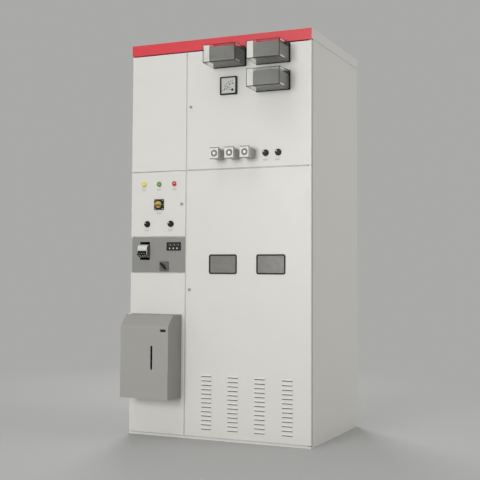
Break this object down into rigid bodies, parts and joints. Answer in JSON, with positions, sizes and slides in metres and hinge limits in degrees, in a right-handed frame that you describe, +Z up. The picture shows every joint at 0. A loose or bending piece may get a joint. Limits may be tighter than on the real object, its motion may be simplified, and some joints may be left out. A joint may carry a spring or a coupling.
{
  "type": "metal-enclosed switchgear cubicle",
  "caption": "Free-standing grey sheet-steel switchgear cubicle with a red header, hinged doors, relays, meter, switches, windows, louvres and a mechanism cover.",
  "frame": {"origin": "middle of the cabinet's footprint and of its four anchor holes, on the floor", "axes": "+Z up, the front with the doors looks along -Y, +X to the right as seen from the front"},
  "size_m": [1.308, 1.194, 2.65],
  "materials": {
    "body_paint": "satin light grey powder coat",
    "header_paint": "satin red",
    "panel_paint": "satin mid grey",
    "cover_paint": "fine texture mid grey",
    "zinc_steel": "zinc plated",
    "lock_steel": "dark chrome",
    "black_plastic": "matt black",
    "grey_plastic": "matt mid grey",
    "dark_grey_plastic": "matt dark grey",
    "pale_plastic": "off-white",
    "clear_plastic": "clear moulded",
    "window_glass": "grey wired glass",
    "window_rubber": "black",
    "bezel_chrome": "bright",
    "yellow_lens": "yellow",
    "green_lens": "green",
    "red_lens": "red",
    "knob_yellow": "dull yellow"
  },
  "bodies": {
    "cabinet": {"base_rails": "body_paint", "anchor_plates": "body_paint", "floor_plate": "body_paint", "side_panels": "body_paint", "back_panels": "body_paint", "roof_cap": "body_paint", "header_strip": "header_paint", "front_sill": "body_paint", "frame_posts": "body_paint", "front_rails": "body_paint", "column_partition": "body_paint", "instrument_shelf": "body_paint", "instrument_back_wall": "body_paint", "upper_left_panel": "body_paint", "switch_panel": "panel_paint", "lower_left_panel": "body_paint", "mechanism_cover": "cover_paint", "cover_counter": "black_plastic", "door_pivots": "zinc_steel", "voltage_indicator": "black_plastic", "breaker_rail": "zinc_steel", "miniature_breaker": "pale_plastic", "handle_plate": "dark_grey_plastic"},
    "instrument_door": {"instrument_door": "body_paint", "instrument_door_lock": "lock_steel", "relay_bases": "black_plastic", "relay_cases": "grey_plastic", "relay_covers": "clear_plastic", "meter_case": "black_plastic", "meter_dial": "pale_plastic", "meter_glass": "clear_plastic", "signal_relay_bodies": "grey_plastic", "signal_relay_fronts": "pale_plastic", "upper_selector_bezels": "black_plastic"},
    "upper_selector_1": {"upper_selector_knob_1": "black_plastic"},
    "upper_selector_2": {"upper_selector_knob_2": "black_plastic"},
    "main_door": {"main_door": "body_paint", "main_door_lock": "lock_steel", "window_gaskets": "window_rubber", "window_panes": "window_glass"},
    "control_door": {"control_door": "body_paint", "control_door_lock": "lock_steel", "lamp_bezels": "bezel_chrome", "yellow_lens": "yellow_lens", "green_lens": "green_lens", "red_lens": "red_lens", "cam_switch_plate": "black_plastic", "lower_selector_bezels": "black_plastic"},
    "cam_switch": {"cam_switch_knob": "knob_yellow"},
    "lower_selector_1": {"lower_selector_knob_1": "black_plastic"},
    "lower_selector_2": {"lower_selector_knob_2": "black_plastic"},
    "panel_selector": {"selector_handle": "black_plastic"},
    "breaker_lever": {"breaker_toggle": "black_plastic"}
  },
  "joints": [
    {"name": "instrument_door_hinge", "type": "hinge", "parent": "cabinet", "child": "instrument_door", "pos_m": [0.641, -0.491, 2.1725], "axis": [0, 0, 1], "range_deg": [0, 110]},
    {"name": "main_door_hinge", "type": "hinge", "parent": "cabinet", "child": "main_door", "pos_m": [0.641, -0.491, 0.893], "axis": [0, 0, 1], "range_deg": [0, 110]},
    {"name": "control_door_hinge", "type": "hinge", "parent": "cabinet", "child": "control_door", "pos_m": [-0.641, -0.491, 1.5495], "axis": [0, 0, -1], "range_deg": [0, 110]},
    {"name": "cam_switch_turn", "type": "hinge", "parent": "control_door", "child": "cam_switch", "pos_m": [-0.434, -0.515, 1.547], "axis": [0, 1, 0], "range_deg": [-45, 45]},
    {"name": "lower_selector_1_turn", "type": "hinge", "parent": "control_door", "child": "lower_selector_1", "pos_m": [-0.5235, -0.51, 1.415], "axis": [0, 1, 0], "range_deg": [0, 90]},
    {"name": "lower_selector_2_turn", "type": "hinge", "parent": "control_door", "child": "lower_selector_2", "pos_m": [-0.3445, -0.51, 1.415], "axis": [0, 1, 0], "range_deg": [0, 90]},
    {"name": "upper_selector_1_turn", "type": "hinge", "parent": "instrument_door", "child": "upper_selector_1", "pos_m": [0.3405, -0.51, 1.864], "axis": [0, 1, 0], "range_deg": [0, 90]},
    {"name": "upper_selector_2_turn", "type": "hinge", "parent": "instrument_door", "child": "upper_selector_2", "pos_m": [0.4275, -0.51, 1.864], "axis": [0, 1, 0], "range_deg": [0, 90]},
    {"name": "panel_selector_turn", "type": "hinge", "parent": "cabinet", "child": "panel_selector", "pos_m": [-0.393, -0.51, 1.131], "axis": [0, 1, 0], "range_deg": [0, 90]},
    {"name": "breaker_lever_swing", "type": "hinge", "parent": "cabinet", "child": "breaker_lever", "pos_m": [-0.543, -0.532, 1.226], "axis": [-1, 0, 0], "range_deg": [0, 80]}
  ]
}
